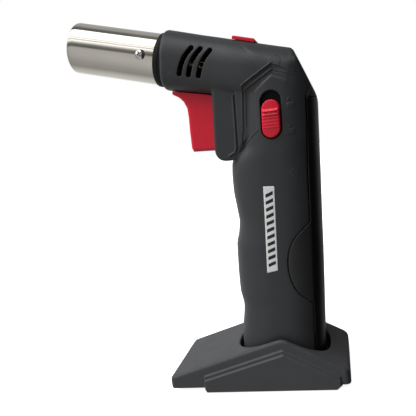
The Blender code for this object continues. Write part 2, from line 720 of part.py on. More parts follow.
for i in range(8):
    a = math.pi / 8 + i * math.pi / 4
    cut(burner_collar, rod(f"air_hole_{i + 1}", -9, -5, 1.9, frame=NOZZLE, sides=8, cutter=True, x=8.0 * math.cos(a), y=8.0 * math.sin(a)))
for i, side in enumerate((-1, 1)):
    cut(burner_collar, rod(f"collar_hole_{i + 1}", 10.0, 16.0, 1.45,
                           frame=NOZZLE @ frame_of((0, 0, 1), (1 * side, 0, 0), (0, side, 0), (0, 0, TUBE_SCREW_S)), sides=16, cutter=True))
venturi = turned(
    "venturi_tube", [(2.8, -31.0), (4.0, -31.0), (4.0, 14.0), (2.8, 14.0)], BRASS, NOZZLE, steps=16,
)
for i in range(2):
    turn = frame_of((0, 0, 1), (1, 0, 0), (0, 1, 0), (0, 0, -24.0)) if i == 0 else frame_of((0, 1, 0), (0, 0, 1), (1, 0, 0), (0, 0, -24.0))
    cut(venturi, rod(f"mixing_hole_{i + 1}", -8, 8, 1.3, frame=NOZZLE @ turn, sides=12, cutter=True))
burner_head = turned(
    "burner_head",
    [(4.3, 12.6), (8.4, 14.6), (8.4, 36.0), (7.6, 36.0), (7.6, 15.6), (4.3, 13.9)], BRASS, NOZZLE, steps=24,
)
flame_holder = turned(
    "flame_holder", [(0.0, 30.0), (7.3, 30.0), (7.3, 31.4), (0.0, 31.4)], BRASS, NOZZLE, steps=24,
)
cut(flame_holder, rod("flame_hole_0", 28, 34, 1.9, frame=NOZZLE, sides=16, cutter=True))
for i in range(6):
    a = i * math.pi / 3
    cut(flame_holder, rod(f"flame_hole_{i + 1}", 28, 34, 1.3, frame=NOZZLE, sides=8, cutter=True, x=4.7 * math.cos(a), y=4.7 * math.sin(a)))
gas_jet = turned(
    "gas_jet",
    [(0.5, -36.0), (3.6, -36.0), (3.6, -31.4), (2.4, -31.4), (2.4, -29.2), (1.6, -28.2), (0.5, -28.2)], BRASS, NOZZLE, steps=14,
)
insulator = turned(
    "electrode_insulator", [(0.75, -9.5), (1.25, -9.5), (1.25, 26.0), (0.75, 26.0)], CERAMIC, NOZZLE @ Matrix.Translation((0.0101, 0, 0)), steps=16,
)
electrode = wire(
    "electrode_wire",
    [tuple(NOZZLE @ (Vector(p) * MM) / MM) for p in ((10.1, 0, -10.5), (10.1, 0, 10), (10.1, 0, 30), (10.0, 0, 34), (9.5, 0, 36.6), (8.2, 0, 37.8))],
    0.45, STEEL, resolution=1,
)
cut(burner_collar, rod("electrode_hole", -9, -5, 1.6, frame=NOZZLE, sides=12, cutter=True, x=10.1))

for i, side in enumerate((-1, 1)):
    name = ("tube_screw_left", "tube_screw_right")[i]
    place = NOZZLE @ frame_of((0, 0, 1), (1 * side, 0, 0), (0, side, 0), (0, 0, TUBE_SCREW_S))
    screw = turned(
        name, [(0.0, 10.8), (1.3, 10.8), (1.3, 14.2), (2.6, 14.2), (2.6, 14.7), (2.0, 15.3), (0.0, 15.5)], ZINC, place, steps=14,
    )
    cut(screw, block(f"{name}_slot", (-0.3, -1.6, 14.9), (0.3, 1.6, 17.0), frame=place, cutter=True),
        block(f"{name}_cross", (-1.6, -0.3, 14.9), (1.6, 0.3, 17.0), frame=place, cutter=True))

# gas hose from the nipple to the jet, past the near side of the igniter
jet_rear = NOZZLE @ (Vector((0, 0, -36.4)) * MM) / MM
jet_back = NOZZLE @ (Vector((0, 0, -41.0)) * MM) / MM
hose_line = smooth_path(
    [(VALVE_X, 0, 127.9), (VALVE_X, 0, 134.2), (-2.3, -3.0, 137.2), (-3.0, -6.9, 140.2), (-4.0, -8.4, 147.0), (-4.6, -7.6, 155.0),
     (-7.0, -4.6, 163.5), (-9.4, -1.2, 170.2), tuple(jet_back), tuple(jet_rear)],
    per=3,
)
gas_hose = wire("gas_hose", hose_line, 1.9, RUBBER, resolution=2)
cut(gas_hose, rod("hose_bore", 126.0, 133.5, 1.35, frame=upright(VALVE_X, 0), sides=16, cutter=True))

lead_line = smooth_path(
    [tuple(STROKE @ (Vector((0, 0, 30.4)) * MM) / MM), tuple(STROKE @ (Vector((0, 0, 32.5)) * MM) / MM), (20.2, 3.0, 146.5),
     (18.6, 8.0, 156.5), (6.0, 9.2, 163.5), (-8.0, 9.2, 169.0), (-22.0, 8.4, 179.0), (-33.5, 4.8, 188.2),
     tuple(NOZZLE @ (Vector((10.1, 0, -13.5)) * MM) / MM), tuple(NOZZLE @ (Vector((10.1, 0, -10.9)) * MM) / MM)],
    per=3,
)
piezo_lead = wire("piezo_lead", lead_line, 0.8, WIRE_RED, resolution=1)

# ---------------------------------------------------------------- housing screws
for i, (x, z, reach) in enumerate(SCREW_PLACES):
    place = along_y(x, z)
    head = reach - 4.0 + 0.3
    screw = turned(
        f"housing_screw_{i + 1}",
        [(0.0, -8.8), (0.8, -8.4), (1.25, -7.6), (1.25, head), (2.5, head), (2.5, head + 1.3), (1.8, head + 1.8), (0.0, head + 1.8)],
        ZINC, place, steps=10,
    )
    cut(screw, block(f"drive_a_{i + 1}", (-0.3, -1.4, head + 0.9), (0.3, 1.4, head + 4), frame=place, cutter=True),
        block(f"drive_b_{i + 1}", (-1.4, -0.3, head + 0.9), (1.4, 0.3, head + 4), frame=place, cutter=True))

# ---------------------------------------------------------------- stand
fx, fz = STAND_FRONT
rx, rz = STAND_REAR


def roof(x, lower=0.0):
    if x < 0:
        return STAND_RIDGE - (STAND_RIDGE - fz) * x / fx - lower
    return STAND_RIDGE - (STAND_RIDGE - rz) * x / rx - lower


stand = outline(
    "stand", [(fx, STAND_RAISE), (fx, fz), (-1.2, roof(-1.2)), (1.2, roof(1.2)), (rx, rz), (rx + 0.8, STAND_RAISE)],
    -STAND_HALF_W, STAND_HALF_W, CHARCOAL,
)
# round the four upright corners in plan before the softer edges
bm = bmesh.new()
bm.from_mesh(stand.data)
corners = [e for e in bm.edges if abs(e.verts[0].co.x - e.verts[1].co.x) < 0.001
           and abs(e.verts[0].co.y - e.verts[1].co.y) < 1e-6
           and (e.verts[0].co.x < -0.05 or e.verts[0].co.x > 0.03)]
bmesh.ops.bevel(bm, geom=corners, offset=5.0 * MM, segments=4, affect="EDGES", profile=0.5)
bm.to_mesh(stand.data)
bm.free()
soft = stand.modifiers.new("soft", "BEVEL")
soft.width = 0.9 * MM
soft.segments = 2
soft.limit_method = "ANGLE"
soft.angle_limit = math.radians(35)

pads = []
for side, y0, y1 in (("near", -STAND_HALF_W - 1.0, -STAND_HALF_W + 3.0), ("far", STAND_HALF_W - 3.0, STAND_HALF_W + 1.0)):
    pads.append(outline(
        f"pad_{side}", [(-45.5, 0.6), (-44.7, 0.0), (27.0, 0.0), (28.6, 1.6), (28.4, 7.4), (0.0, 23.2), (-44.9, 9.6)], y0, y1,
        cutter=True, bevel=0.5,
    ))
join(stand, *pads)
# hollow underside
hollow_pts = [(fx + 3, -3.0), (fx + 3, fz - 2.6), (-1.0, roof(-1.0, 2.8)), (1.0, roof(1.0, 2.8)), (rx - 3, rz - 2.6), (rx - 3, -3.0)]
hollow = outline("stand_hollow", hollow_pts, -STAND_HALF_W + 2.6, STAND_HALF_W - 2.6, cutter=True)
WELL_FLOOR = 7.0


def well_ring(z, grow):
    # the well is a straight prism round the handle's foot
    ring = rounded(2.6, 2.6, 23.35, HANDLE_HALF_W, HANDLE_HALF_W, -0.75, grow)
    return [(u, v, z) for u, v in ring]


well = loft("stand_well", [well_ring(WELL_FLOOR, WELL_GAP), well_ring(60, WELL_GAP)], cutter=True)
well_wall = loft("well_wall", [well_ring(WELL_FLOOR - 2.0, WELL_GAP + 1.8), well_ring(60, WELL_GAP + 1.8)], cutter=True)
cut(hollow, well_wall)
cut(stand, hollow, well)

# ---------------------------------------------------------------- whole torch
base = bpy.data.objects.new("torch_origin", None)
bpy.context.scene.collection.objects.link(base)
for obj in list(torch.objects) + list(cutters.objects):
    obj.parent = base
base.location = (ORIGIN_SHIFT_X * MM, 0, 0)
bpy.context.view_layer.update()
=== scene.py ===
import math

import bmesh
import bpy
import numpy as np
from mathutils import Matrix, Vector


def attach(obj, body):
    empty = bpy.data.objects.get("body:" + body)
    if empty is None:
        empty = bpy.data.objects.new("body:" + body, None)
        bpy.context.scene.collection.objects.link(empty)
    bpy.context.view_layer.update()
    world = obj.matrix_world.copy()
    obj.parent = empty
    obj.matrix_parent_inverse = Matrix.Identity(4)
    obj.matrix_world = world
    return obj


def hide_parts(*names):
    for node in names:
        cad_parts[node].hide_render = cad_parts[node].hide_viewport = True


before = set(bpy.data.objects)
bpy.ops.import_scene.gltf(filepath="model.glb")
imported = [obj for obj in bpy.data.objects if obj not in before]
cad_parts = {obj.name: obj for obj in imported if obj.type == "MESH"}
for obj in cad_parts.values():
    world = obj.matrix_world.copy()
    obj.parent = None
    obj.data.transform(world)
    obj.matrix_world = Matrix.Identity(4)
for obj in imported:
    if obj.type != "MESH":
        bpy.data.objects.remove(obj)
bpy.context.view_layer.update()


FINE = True
MM = 0.001
SHIFT = 34.2           # in the drawings below X = 0 lies under the stand's ridge
TILT = math.radians(16.0)
CT, ST = math.cos(TILT), math.sin(TILT)
NX, NZ = -51.0, 184.8  # where the flame tube leaves the head

# ------------------------------------------------------------------ forms
# A form is a function of (x, y, z) in millimetres, negative inside.


def smin(a, b, k):
    if k <= 0:
        return np.minimum(a, b)
    h = np.maximum(k - np.abs(a - b), 0.0) / k
    return np.minimum(a, b) - h * h * k * 0.25


def smax(a, b, k):
    return -smin(-a, -b, k)


def step(a, b, v):
    t = np.clip((v - a) / (b - a), 0.0, 1.0)
    return t * t * (3 - 2 * t)


def superellipse(u, v, a, b, p):
    uu = np.abs(u) / a + 1e-6
    vv = np.abs(v) / b + 1e-6
    g = (uu ** p + vv ** p) ** (1.0 / p)
    k = g ** (1 - p)
    gx = k * uu ** (p - 1) / a
    gy = k * vv ** (p - 1) / b
    return (g - 1) / np.maximum(np.sqrt(gx * gx + gy * gy), 0.02)


def seg_dist(x, z, a, b):
    ax, az = a
    dx, dz = b[0] - ax, b[1] - az
    t = np.clip(((x - ax) * dx + (z - az) * dz) / (dx * dx + dz * dz), 0, 1)
    return np.sqrt((x - ax - t * dx) ** 2 + (z - az - t * dz) ** 2)


def side_of(x, z, line):
    """Signed distance in the side view from a line, positive on its left."""
    a, b = line
    dx, dz = b[0] - a[0], b[1] - a[1]
    return ((z - a[1]) * dx - (x - a[0]) * dz) / math.hypot(dx, dz)


def poly_dist(x, z, pts):
    found = None
    for a, b in zip(pts, pts[1:]):
        d = seg_dist(x, z, a, b)
        found = d if found is None else np.minimum(found, d)
    return found


def polygon_dist(x, z, pts):
    """Signed distance in the side view from a closed outline, negative inside."""
    d = np.full(np.shape(x), 1e9)
    inside = np.zeros(np.shape(x), bool)
    for i in range(len(pts)):
        a, b = pts[i], pts[(i + 1) % len(pts)]
        d = np.minimum(d, seg_dist(x, z, a, b))
        if a[1] != b[1]:
            across = (a[1] > z) != (b[1] > z)
            inside ^= across & (x < (b[0] - a[0]) * (z - a[1]) / (b[1] - a[1]) + a[0])
    return np.where(inside, -d, d)


def rounded_box(u, v, a, b, r):
    qu, qv = np.abs(u) - (a - r), np.abs(v) - (b - r)
    return np.sqrt(np.maximum(qu, 0) ** 2 + np.maximum(qv, 0) ** 2) + np.minimum(np.maximum(qu, qv), 0) - r


def smooth_table(rows, column, sigma, step_mm=0.25, low=-5.0, high=220.0):
    zs = np.arange(low, high, step_mm)
    raw = np.interp(zs, [r[0] for r in rows], [r[column] for r in rows])
    n = int(4 * sigma / step_mm)
    kernel = np.exp(-0.5 * (np.arange(-n, n + 1) * step_mm / sigma) ** 2)
    kernel /= kernel.sum()
    return zs, np.convolve(np.concatenate([np.full(n, raw[0]), raw, np.full(n, raw[-1])]), kernel, mode="valid")


def nozzle_coords(x, z):
    """s forward along the flame tube, n across it, upward."""
    return -(x - NX) * CT + (z - NZ) * ST, (x - NX) * ST + (z - NZ) * CT


# ------------------------------------------------------------------ from a form to a mesh
def slope_of(form, p, eps):
    x, y, z = p.T
    return np.stack([
        form(x + eps, y, z) - form(x - eps, y, z),
        form(x, y + eps, z) - form(x, y - eps, z),
        form(x, y, z + eps) - form(x, y, z - eps),
    ], 1) / (2 * eps)


def pull(form, p, cap, rounds=3, eps=0.05):
    """Moves points onto the form's surface, none further than cap."""
    start = p
    for _ in range(rounds):
        f = form(*p.T)
        g = slope_of(form, p, eps)
        move = -(f / np.maximum((g * g).sum(1), 0.15))[:, None] * g
        size = np.linalg.norm(move, axis=1)
        p = p + move * np.minimum(1, 0.6 * cap / np.maximum(size, 1e-9))[:, None]
        off = p - start
        size = np.linalg.norm(off, axis=1)
        p = start + off * np.minimum(1, cap / np.maximum(size, 1e-9))[:, None]
    return p


def unit(v):
    return v / np.maximum(np.linalg.norm(v, axis=1), 1e-9)[:, None]


def cells_mesh(form, low, high, h):
    """Points and quads of the form's zero surface, with one point in each grid cell that it crosses."""
    axes = [np.arange(l, u + h, h) for l, u in zip(low, high)]
    nx, ny, nz = (len(a) for a in axes)
    field = np.empty((nx, ny, nz), np.float32)
    yy, zz = np.meshgrid(axes[1], axes[2], indexing="ij")
    slab = max(1, 300000 // (ny * nz))
    for i in range(0, nx, slab):
        xs = axes[0][i:i + slab][:, None, None]
        shape = (len(xs), ny, nz)
        field[i:i + slab] = form(np.broadcast_to(xs, shape), np.broadcast_to(yy, shape), np.broadcast_to(zz, shape))
    neg = field < 0
    count = np.zeros((nx - 1, ny - 1, nz - 1), np.uint8)
    corners = [(i, j, k) for i in (0, 1) for j in (0, 1) for k in (0, 1)]
    for i, j, k in corners:
        count += neg[i:nx - 1 + i, j:ny - 1 + j, k:nz - 1 + k]
    cells = np.argwhere((count > 0) & (count < 8))
    index = np.full(count.shape, -1, np.int64)
    index[tuple(cells.T)] = np.arange(len(cells))
    total = np.zeros((len(cells), 3))
    weight = np.zeros(len(cells))
    values = {c: field[tuple((cells + c).T)] for c in corners}
    for a in corners:
        for axis in range(3):
            if a[axis]:
                continue
            b = tuple(v + (n == axis) for n, v in enumerate(a))
            va, vb = values[a], values[b]
            hit = (va < 0) != (vb < 0)
            t = np.where(hit, va / np.where(hit, va - vb, 1), 0)
            total += (np.array(a, float)[None] + t[:, None] * (np.array(b) - np.array(a))[None]) * hit[:, None]
            weight += hit
    pts = (cells + total / weight[:, None]) * h + np.array(low)
    quads = []
    for axis in range(3):
        lo, hi = [slice(None)] * 3, [slice(None)] * 3
        lo[axis], hi[axis] = slice(0, -1), slice(1, None)
        a, b = neg[tuple(lo)], neg[tuple(hi)]
        edges = np.argwhere(a != b)
        o1, o2 = (axis + 1) % 3, (axis + 2) % 3
        edges = edges[(edges[:, o1] > 0) & (edges[:, o2] > 0) & (edges[:, o1] < field.shape[o1] - 1) & (edges[:, o2] < field.shape[o2] - 1)]
        ring = []
        for d1, d2 in ((-1, -1), (0, -1), (0, 0), (-1, 0)):
            cell = edges.copy()
            cell[:, o1] += d1
            cell[:, o2] += d2
            ring.append(index[tuple(cell.T)])
        quad = np.stack(ring, 1)
        flip = ~a[tuple(edges.T)]
        quad[flip] = quad[flip][:, ::-1]
        quads.append(quad)
    return pts, np.concatenate(quads)


def points_of(mesh):
    co = np.empty(len(mesh.vertices) * 3)
    mesh.vertices.foreach_get("co", co)
    return co.reshape(-1, 3)


def finer(mesh, form, angle, where, cap):
    """Splits the faces across which the surface turns by more than angle."""
    p = points_of(mesh)
    n = unit(slope_of(form, p, 0.08))
    ends = np.empty(len(mesh.edges) * 2, np.int32)
    mesh.edges.foreach_get("vertices", ends)
    ends = ends.reshape(-1, 2)
    bent = (n[ends[:, 0]] * n[ends[:, 1]]).sum(1) < math.cos(math.radians(angle))
    if where is not None:
        allowed = where(*p.T)
        bent &= allowed[ends[:, 0]] & allowed[ends[:, 1]]
    totals = np.empty(len(mesh.polygons), np.int32)
    mesh.polygons.foreach_get("loop_total", totals)
    loop_edges = np.empty(len(mesh.loops), np.int32)
    mesh.loops.foreach_get("edge_index", loop_edges)
    face_of = np.repeat(np.arange(len(totals)), totals)
    face_bent = np.zeros(len(totals), bool)
    np.logical_or.at(face_bent, face_of, bent[loop_edges])
    chosen = np.zeros(len(ends), bool)
    chosen[loop_edges[face_bent[face_of]]] = True
    bm = bmesh.new()
    bm.from_mesh(mesh)
    bm.edges.ensure_lookup_table()
    bmesh.ops.subdivide_edges(bm, edges=[bm.edges[i] for i in np.flatnonzero(chosen)], cuts=1, use_grid_fill=True)
    bm.to_mesh(mesh)
    bm.free()
    mesh.vertices.foreach_set("co", pull(form, points_of(mesh), cap).ravel())
    mesh.update()


def surface(name, form, low, high, h, levels=(), where=None, place=None, span=0.12, quick_h=2.0):
    if not FINE:
        h *= quick_h
        levels = ()
    pts, quads = cells_mesh(form, low, high, h)
    pts = pull(form, pts, 0.75 * h)
    mesh = bpy.data.meshes.new(name)
    mesh.vertices.add(len(pts))
    mesh.vertices.foreach_set("co", pts.ravel())
    mesh.loops.add(quads.size)
    mesh.loops.foreach_set("vertex_index", quads.astype(np.int32).ravel())
    mesh.polygons.add(len(quads))
    mesh.polygons.foreach_set("loop_start", np.arange(0, quads.size, 4, dtype=np.int32))
    mesh.update(calc_edges=True)
    size = h
    for angle in levels:
        finer(mesh, form, angle, where, 0.6 * size)
        size *= 0.5
    pts = points_of(mesh)
    normals = unit(slope_of(form, pts, span))
    if place is not None:
        turn = np.array(place.to_3x3())
        pts = pts @ turn.T + np.array(place.translation)
        normals = normals @ turn.T
    mesh.vertices.foreach_set("co", ((pts + np.array([SHIFT, 0, 0])) * MM).ravel())
    mesh.polygons.foreach_set("use_smooth", np.ones(len(mesh.polygons), bool))
    mesh.update()
    mesh.normals_split_custom_set_from_vertices(normals)
    obj = bpy.data.objects.new(name, mesh)
    bpy.context.scene.collection.objects.link(obj)
    print(name, len(mesh.polygons), flush=True)
    return obj


def lathe(name, profile, segments=160, place=None):
    """A closed profile of (radius, height) turned round the local Z axis, in millimetres."""
    segments = segments if FINE else segments // 2
    place = place or Matrix.Identity(4)
    n = len(profile)
    turn = 2 * math.pi / segments
    verts = [
        (place @ Vector((r * math.cos(i * turn), r * math.sin(i * turn), z)) + Vector((SHIFT, 0, 0))) * MM
        for i in range(segments) for r, z in profile
    ]
    faces = [
        (i * n + j, i * n + (j + 1) % n, ((i + 1) % segments) * n + (j + 1) % n, ((i + 1) % segments) * n + j)
        for i in range(segments) for j in range(n)
    ]
    mesh = bpy.data.meshes.new(name)
    mesh.from_pydata(verts, [], faces)
    bm = bmesh.new()
    bm.from_mesh(mesh)
    bmesh.ops.recalc_face_normals(bm, faces=bm.faces)
    bm.to_mesh(mesh)
    bm.free()
    mesh.shade_smooth()
    mesh.set_sharp_from_angle(angle=math.radians(38))
    obj = bpy.data.objects.new(name, mesh)
    bpy.context.scene.collection.objects.link(obj)
    return obj


def dress(obj, mat, slot, body, *nodes):
    obj.data.materials.clear()
    obj.data.materials.append(mat)
    if nodes:
        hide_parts(*nodes)
    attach(obj, body)
    return obj


# ------------------------------------------------------------------ materials
def new_mat(name, color, rough, metal=0.0):
    mat = bpy.data.materials.new(name)
    mat.use_nodes = True
    bsdf = mat.node_tree.nodes["Principled BSDF"]
    bsdf.inputs["Base Color"].default_value = (*color, 1)
    bsdf.inputs["Roughness"].default_value = rough
    bsdf.inputs["Metallic"].default_value = metal
    return mat, mat.node_tree, bsdf


def add(tree, kind, **settings):
    node = tree.nodes.new(kind)
    for key, value in settings.items():
        setattr(node, key, value)
    return node


def coords(tree, rotation=(0, 0, 0), scale=(1, 1, 1)):
    coord = add(tree, "ShaderNodeTexCoord")
    turn = add(tree, "ShaderNodeMapping")
    turn.inputs["Rotation"].default_value = rotation
    size = add(tree, "ShaderNodeMapping")
    size.inputs["Scale"].default_value = scale
    tree.links.new(coord.outputs["Object"], turn.inputs["Vector"])
    tree.links.new(turn.outputs["Vector"], size.inputs["Vector"])
    return size.outputs["Vector"]


def noise(tree, vector, scale, detail=2.0, rough=0.5):
    node = add(tree, "ShaderNodeTexNoise")
    node.inputs["Scale"].default_value = scale
    node.inputs["Detail"].default_value = detail
    node.inputs["Roughness"].default_value = rough
    tree.links.new(vector, node.inputs["Vector"])
    return node.outputs["Fac"]


def ramp(tree, fac, stops):
    node = add(tree, "ShaderNodeValToRGB")
    while len(node.color_ramp.elements) < len(stops):
        node.color_ramp.elements.new(0.5)
    for element, (at, value) in zip(node.color_ramp.elements, stops):
        element.position = at
        element.color = (*value, 1) if isinstance(value, tuple) else (value, value, value, 1)
    tree.links.new(fac, node.inputs["Fac"])
    return node.outputs["Color"]


def bump(tree, bsdf, height, distance, strength=1.0, under=None):
    node = add(tree, "ShaderNodeBump")
    node.inputs["Strength"].default_value = strength
    node.inputs["Distance"].default_value = distance
    tree.links.new(height, node.inputs["Height"])
    if under is not None:
        tree.links.new(under, node.inputs["Normal"])
    tree.links.new(node.outputs["Normal"], bsdf.inputs["Normal"])
    return node.outputs["Normal"]


def mixed(tree, fac, a, b):
    node = add(tree, "ShaderNodeMix", data_type="RGBA")
    tree.links.new(fac, node.inputs["Factor"])
    for value, socket in ((a, node.inputs[6]), (b, node.inputs[7])):
        if isinstance(value, tuple):
            socket.default_value = (*value, 1)
        else:
            tree.links.new(value, socket)
    return node.outputs[2]


def moulded(name, dark, light, rough_low, rough_high, grain=2600.0, depth=0.00003, specular=0.5, wear=None):
    """Moulded plastic: spark-eroded grain, soft changes of tone, handling marks in the gloss and paler edges."""
    mat, tree, bsdf = new_mat(name, light, rough_high)
    bsdf.inputs["Specular IOR Level"].default_value = specular
    vec = coords(tree)
    color = ramp(tree, noise(tree, vec, 38.0, 4.0, 0.6), ((0.3, dark), (0.7, light)))
    if wear:
        point = add(tree, "ShaderNodeNewGeometry").outputs["Pointiness"]
        rub = ramp(tree, noise(tree, vec, 160.0, 4.0, 0.7), ((0.42, 0.0), (0.62, 0.8)))
        edge = ramp(tree, point, ((0.53, 0.0), (0.60, 1.0)))
        both = add(tree, "ShaderNodeMath", operation="MULTIPLY")
        tree.links.new(rub, both.inputs[0])
        tree.links.new(edge, both.inputs[1])
        color = mixed(tree, both.outputs[0], color, wear)
    tree.links.new(color, bsdf.inputs["Base Color"])
    marks = noise(tree, vec, 85.0, 6.0, 0.68)
    tree.links.new(ramp(tree, marks, ((0.32, rough_low), (0.68, rough_high))), bsdf.inputs["Roughness"])
    fine = bump(tree, bsdf, noise(tree, vec, grain, 3.0, 0.6), depth, 0.7)
    bump(tree, bsdf, noise(tree, vec, 140.0, 2.0, 0.5), depth * 1.5, 0.25, fine)
    return mat


def metal(name, color, rough, rotation=(0, 0, 0), stretch=(1, 1, 1), lines=900.0, depth=0.00001, spread=0.06, dull=0.88):
    mat, tree, bsdf = new_mat(name, color, rough, 1.0)
    along = coords(tree, rotation, stretch)
    plain = coords(tree)
    smudge = noise(tree, plain, 120.0, 5.0, 0.65)
    tree.links.new(ramp(tree, smudge, ((0.3, max(0.03, rough - spread)), (0.75, rough + spread))), bsdf.inputs["Roughness"])
    stain = noise(tree, plain, 60.0, 3.0, 0.5)
    tree.links.new(ramp(tree, stain, ((0.3, tuple(c * dull for c in color)), (0.7, color))), bsdf.inputs["Base Color"])
    bump(tree, bsdf, noise(tree, along, lines, 3.0, 0.6), depth, 0.5)
    return mat


CHARCOAL = moulded("charcoal_plastic", (0.036, 0.038, 0.0405), (0.043, 0.045, 0.048), 0.44, 0.54, wear=(0.075, 0.077, 0.08))
SPINE_MAT = moulded("spine_plastic", (0.034, 0.0355, 0.0375), (0.040, 0.0415, 0.044), 0.28, 0.36, depth=0.00002, wear=(0.07, 0.07, 0.072))


def paint_rear_shade(mat):
    """Painted shade: the panel's back strip, behind the crease, is coloured much darker than the lobe on its side,
    where the surface turns away to the rear.
    """
    tree = mat.node_tree
    bsdf = next(n for n in tree.nodes if n.type == "BSDF_PRINCIPLED")
    base = bsdf.inputs["Base Color"].links[0].from_socket
    where = add(tree, "ShaderNodeVectorMath", operation="DOT_PRODUCT")
    where.inputs[1].default_value = (1.0, 0.0, -0.0728)
    tree.links.new(add(tree, "ShaderNodeTexCoord").outputs["Object"], where.inputs[0])
    rear_shade_mask = add(tree, "ShaderNodeMapRange")
    rear_shade_mask.inputs["From Min"].default_value = 0.0490
    rear_shade_mask.inputs["From Max"].default_value = 0.0500
    tree.links.new(where.outputs["Value"], rear_shade_mask.inputs["Value"])
    # painted shade: behind the crease line the colour is mixed to near-black
    tree.links.new(mixed(tree, rear_shade_mask.outputs["Result"], base, (0.007, 0.0072, 0.0075)), bsdf.inputs["Base Color"])


# the spine's back strip gets painted shade
paint_rear_shade(SPINE_MAT)
STAND_MAT = moulded("stand_plastic", (0.054, 0.056, 0.0595), (0.062, 0.064, 0.0675), 0.48, 0.58, wear=(0.085, 0.087, 0.09))
RED = moulded("red_plastic", (0.80, 0.006, 0.032), (0.88, 0.009, 0.040), 0.36, 0.46, depth=0.00002, wear=(0.60, 0.06, 0.08))
RUBBER = moulded("heat_rubber", (0.010, 0.010, 0.011), (0.015, 0.015, 0.016), 0.6, 0.75, 1500.0, 0.00006, 0.3)
NYLON = moulded("nylon", (0.10, 0.10, 0.098), (0.14, 0.138, 0.132), 0.45, 0.6)
BLACK = moulded("black_carriage", (0.003, 0.003, 0.003), (0.005, 0.005, 0.005), 0.5, 0.62, specular=0.25)
WHITE = moulded("white_print", (0.93, 0.93, 0.93), (0.97, 0.97, 0.97), 0.35, 0.5, 3500.0, 0.000008)
INK = moulded("dark_ink", (0.010, 0.010, 0.011), (0.016, 0.016, 0.017), 0.4, 0.55, 3500.0, 0.000008)
TANK = moulded("tank_plastic", (0.30, 0.27, 0.21), (0.38, 0.34, 0.27), 0.25, 0.4, 900.0, 0.00002)
CERAMIC = moulded("white_ceramic", (0.68, 0.66, 0.61), (0.80, 0.78, 0.73), 0.22, 0.35, 1800.0, 0.00002)
LEAD = moulded("lead_sleeve", (0.30, 0.022, 0.012), (0.38, 0.03, 0.016), 0.42, 0.55, 1800.0, 0.00002)
STEEL = metal("tube_steel", (0.76, 0.725, 0.655), 0.10, (0, -TILT, 0), (0.02, 1, 1), 1300.0, 0.000004, 0.035, 0.93)
BRIGHT = metal("bright_steel", (0.82, 0.81, 0.79), 0.16, lines=1600.0, depth=0.000006, spread=0.05)
ZINC = metal("zinc_plate", (0.62, 0.61, 0.58), 0.26, lines=1400.0, depth=0.00001)
BRASS = metal("turned_brass", (0.50, 0.35, 0.16), 0.30, lines=1500.0, depth=0.00001, dull=0.75)

# ------------------------------------------------------------------ the torch's outer form
HANDLE_LINE = (
    (7.4, -25.6, 21.3), (20.0, -25.5, 22.2), (26.0, -25.2, 22.6), (31.0, -24.4, 23.0), (36.0, -23.3, 23.4), (41.0, -22.4, 23.8),
    (44.5, -22.1, 24.1), (51.5, -23.3, 24.7), (62.0, -22.9, 25.5), (72.0, -22.2, 26.3),
    (79.5, -21.6, 26.8), (85.0, -19.6, 27.1), (91.5, -18.4, 27.6), (100.0, -19.0, 28.2),
    (108.0, -19.6, 28.8), (117.0, -19.2, 29.4), (124.0, -18.4, 29.9), (127.0, -16.5, 30.1),
    (131.0, -13.0, 30.4), (140.0, -11.6, 31.0), (151.0, -10.4, 31.8), (165.0, -8.6, 32.4),
    (185.0, -6.0, 33.0),
)
FRONT_Z, FRONT_X = smooth_table(HANDLE_LINE, 1, 1.3)
REAR_Z, REAR_X = smooth_table(HANDLE_LINE, 2, 3.0)
HALF_W, BARREL_Y = 19.3, 16.5

# the six-sided frame round the flame slide: outer ridge, then a band, then the raised plate
FRAME_UL = ((-4.9, 162.4), (11.3, 171.0))
FRAME_UR = ((11.3, 171.0), (26.5, 164.6))
FRAME_L = ((-7.9, 138.0), (-4.9, 162.4))
PLATE_UL = ((1.3, 158.6), (10.8, 165.0))
PLATE_UR = ((10.8, 165.0), (24.0, 159.0))
PLATE_L = ((0.6, 139.5), (1.3, 158.6))
FRAME_FOOT = ((-14.9, 127.0), (0.6, 139.7))
BEADS = (
    ([(-4.9, 162.4), (11.3, 171.0)], 0.66), ([(11.3, 171.0), (22.5, 166.3)], 0.32),
    ([(-3.4, 160.6), (11.0, 168.3)], 0.64), ([(11.0, 168.7), (21.5, 164.4)], 0.26),
    ([(-3.6, 160.9), (-5.8, 142.5)], 0.26), ([(-4.9, 162.4), (-7.7, 139.0)], 0.30),
    ([(0.6, 139.7), (-14.4, 127.4)], 0.30),
)


def barrel_low(s):
    return 15.3 + 1.3 * step(-36.0, -6.0, s)


def slope_plane(x, z):
    return (x - 21.9) * 0.934 + (z - 179.1) * 0.358


